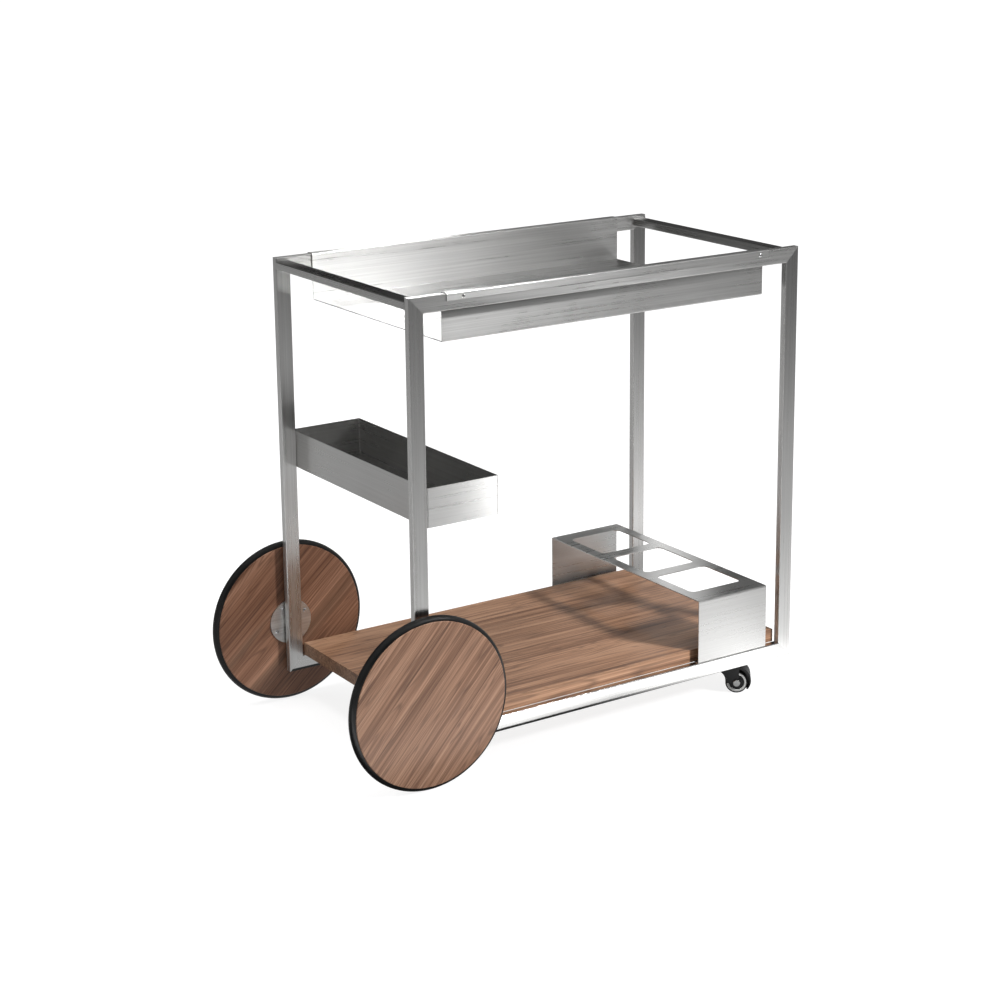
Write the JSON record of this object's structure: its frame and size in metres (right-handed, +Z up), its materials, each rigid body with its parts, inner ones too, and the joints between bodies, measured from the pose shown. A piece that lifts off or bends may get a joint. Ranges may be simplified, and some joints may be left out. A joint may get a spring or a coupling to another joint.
{
  "type": "bar cart",
  "caption": "Bar cart with a steel tube frame, hanging tray, side box, bottle rack and walnut shelf, on large wooden wheels at one end and swivel casters at the other.",
  "frame": {"origin": "on the floor, under the centre of the bounding box", "axes": "+X along the cart from the large wheels to the casters, -Y the front, +Z up"},
  "size_m": [0.8726, 0.478, 0.7667],
  "materials": {
    "stainless": "brushed along the tubes",
    "screw_steel": "polished",
    "walnut": "oiled, open grain",
    "tyre_rubber": "smooth matt rubber",
    "bush_plastic": "natural acetal",
    "caster_plastic": "black moulded",
    "caster_rim": "light grey moulded",
    "caster_tread": "smooth"
  },
  "bodies": {
    "cart": {"post_front_left": "stainless", "post_front_right": "stainless", "post_rear_left": "stainless", "post_rear_right": "stainless", "top_rail_front": "stainless", "top_rail_rear": "stainless", "bottom_rail_front": "stainless", "bottom_rail_rear": "stainless", "top_cross_left": "stainless", "top_cross_right": "stainless", "lower_cross_left": "stainless", "lower_cross_right": "stainless", "axle_bosses": "stainless", "caster_inserts": "screw_steel", "tray": "stainless", "tray_screws": "screw_steel", "side_box": "stainless", "box_screws": "screw_steel", "shelf_board": "walnut", "shelf_screws": "screw_steel", "bottle_rack": "stainless", "rack_screws": "screw_steel", "axle_front": "screw_steel", "axle_ring_front": "screw_steel", "axle_rear": "screw_steel", "axle_ring_rear": "screw_steel", "caster_stem_front": "screw_steel", "caster_stem_rear": "screw_steel"},
    "large_wheel_front": {"wheel_disc_front": "walnut", "tyre_front": "tyre_rubber", "hub_front": "stainless", "hub_bush_front": "bush_plastic", "hub_screws_front": "screw_steel"},
    "large_wheel_rear": {"wheel_disc_rear": "walnut", "tyre_rear": "tyre_rubber", "hub_rear": "stainless", "hub_bush_rear": "bush_plastic", "hub_screws_rear": "screw_steel"},
    "caster_front": {"caster_housing_front": "caster_plastic", "caster_axle_front": "screw_steel"},
    "roller_front_near": {"caster_wheel_front_near": "caster_plastic", "caster_rim_front_near": "caster_rim", "caster_tread_front_near": "caster_tread"},
    "roller_front_far": {"caster_wheel_front_far": "caster_plastic", "caster_rim_front_far": "caster_rim", "caster_tread_front_far": "caster_tread"},
    "caster_rear": {"caster_housing_rear": "caster_plastic", "caster_axle_rear": "screw_steel"},
    "roller_rear_near": {"caster_wheel_rear_near": "caster_plastic", "caster_rim_rear_near": "caster_rim", "caster_tread_rear_near": "caster_tread"},
    "roller_rear_far": {"caster_wheel_rear_far": "caster_plastic", "caster_rim_rear_far": "caster_rim", "caster_tread_rear_far": "caster_tread"}
  },
  "joints": [
    {"name": "large_wheel_front_spin", "type": "hinge", "parent": "cart", "child": "large_wheel_front", "pos_m": [-0.29695, -0.214, 0.1394], "axis": [0, 1, 0], "continuous": true},
    {"name": "large_wheel_rear_spin", "type": "hinge", "parent": "cart", "child": "large_wheel_rear", "pos_m": [-0.29695, 0.214, 0.1394], "axis": [0, 1, 0], "continuous": true},
    {"name": "caster_front_swivel", "type": "hinge", "parent": "cart", "child": "caster_front", "pos_m": [0.33635, -0.173, 0.04], "axis": [0, 0, 1], "continuous": true},
    {"name": "roller_front_near_spin", "type": "hinge", "parent": "caster_front", "child": "roller_front_near", "pos_m": [0.34659, -0.181, 0.019], "axis": [0.6157, 0.788, 0], "continuous": true},
    {"name": "roller_front_far_spin", "type": "hinge", "parent": "caster_front", "child": "roller_front_far", "pos_m": [0.34659, -0.181, 0.019], "axis": [0.6157, 0.788, 0], "continuous": true},
    {"name": "caster_rear_swivel", "type": "hinge", "parent": "cart", "child": "caster_rear", "pos_m": [0.33635, 0.173, 0.04], "axis": [0, 0, 1], "continuous": true},
    {"name": "roller_rear_near_spin", "type": "hinge", "parent": "caster_rear", "child": "roller_rear_near", "pos_m": [0.34659, 0.165, 0.019], "axis": [0.6157, 0.788, 0], "continuous": true},
    {"name": "roller_rear_far_spin", "type": "hinge", "parent": "caster_rear", "child": "roller_rear_far", "pos_m": [0.34659, 0.165, 0.019], "axis": [0.6157, 0.788, 0], "continuous": true}
  ]
}
